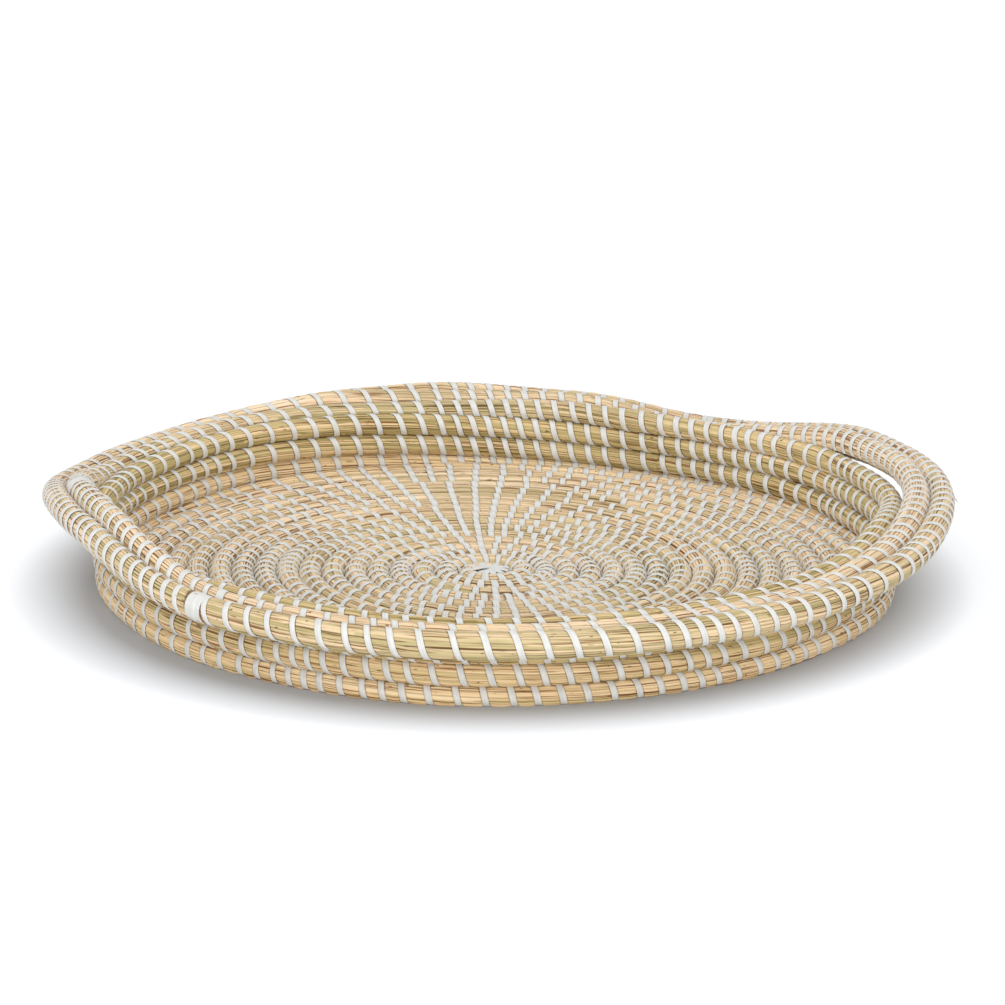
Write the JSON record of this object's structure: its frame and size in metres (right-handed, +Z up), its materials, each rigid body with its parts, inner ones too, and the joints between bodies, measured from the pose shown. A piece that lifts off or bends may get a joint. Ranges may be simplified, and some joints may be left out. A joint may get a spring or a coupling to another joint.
{
  "type": "coiled seagrass tray",
  "caption": "Round serving tray coiled from a seagrass bundle sewn with white plastic strip: flat base, low wall, flat rim that leaves the wall to make hand-holds.",
  "frame": {"origin": "On the surface the tray stands on, under the middle of the tray's outline", "axes": "+Z up out of the tray, X through the two hand-holds with +X at the bowed-out one, Y across them"},
  "size_m": [0.4472, 0.4572, 0.0611],
  "materials": {
    "straw_grass": "matte dried grass",
    "peach_grass": "matte dried grass",
    "olive_grass": "matte dried grass",
    "white_strip": "satin"
  },
  "bodies": {
    "root": {"base_coil": "straw_grass", "wall_lower_coil": "peach_grass", "wall_upper_coil": "olive_grass", "rim_coil": "straw_grass", "centre_knot": "white_strip", "lashing_front": "white_strip", "lashing_back": "white_strip"}
  },
  "joints": []
}
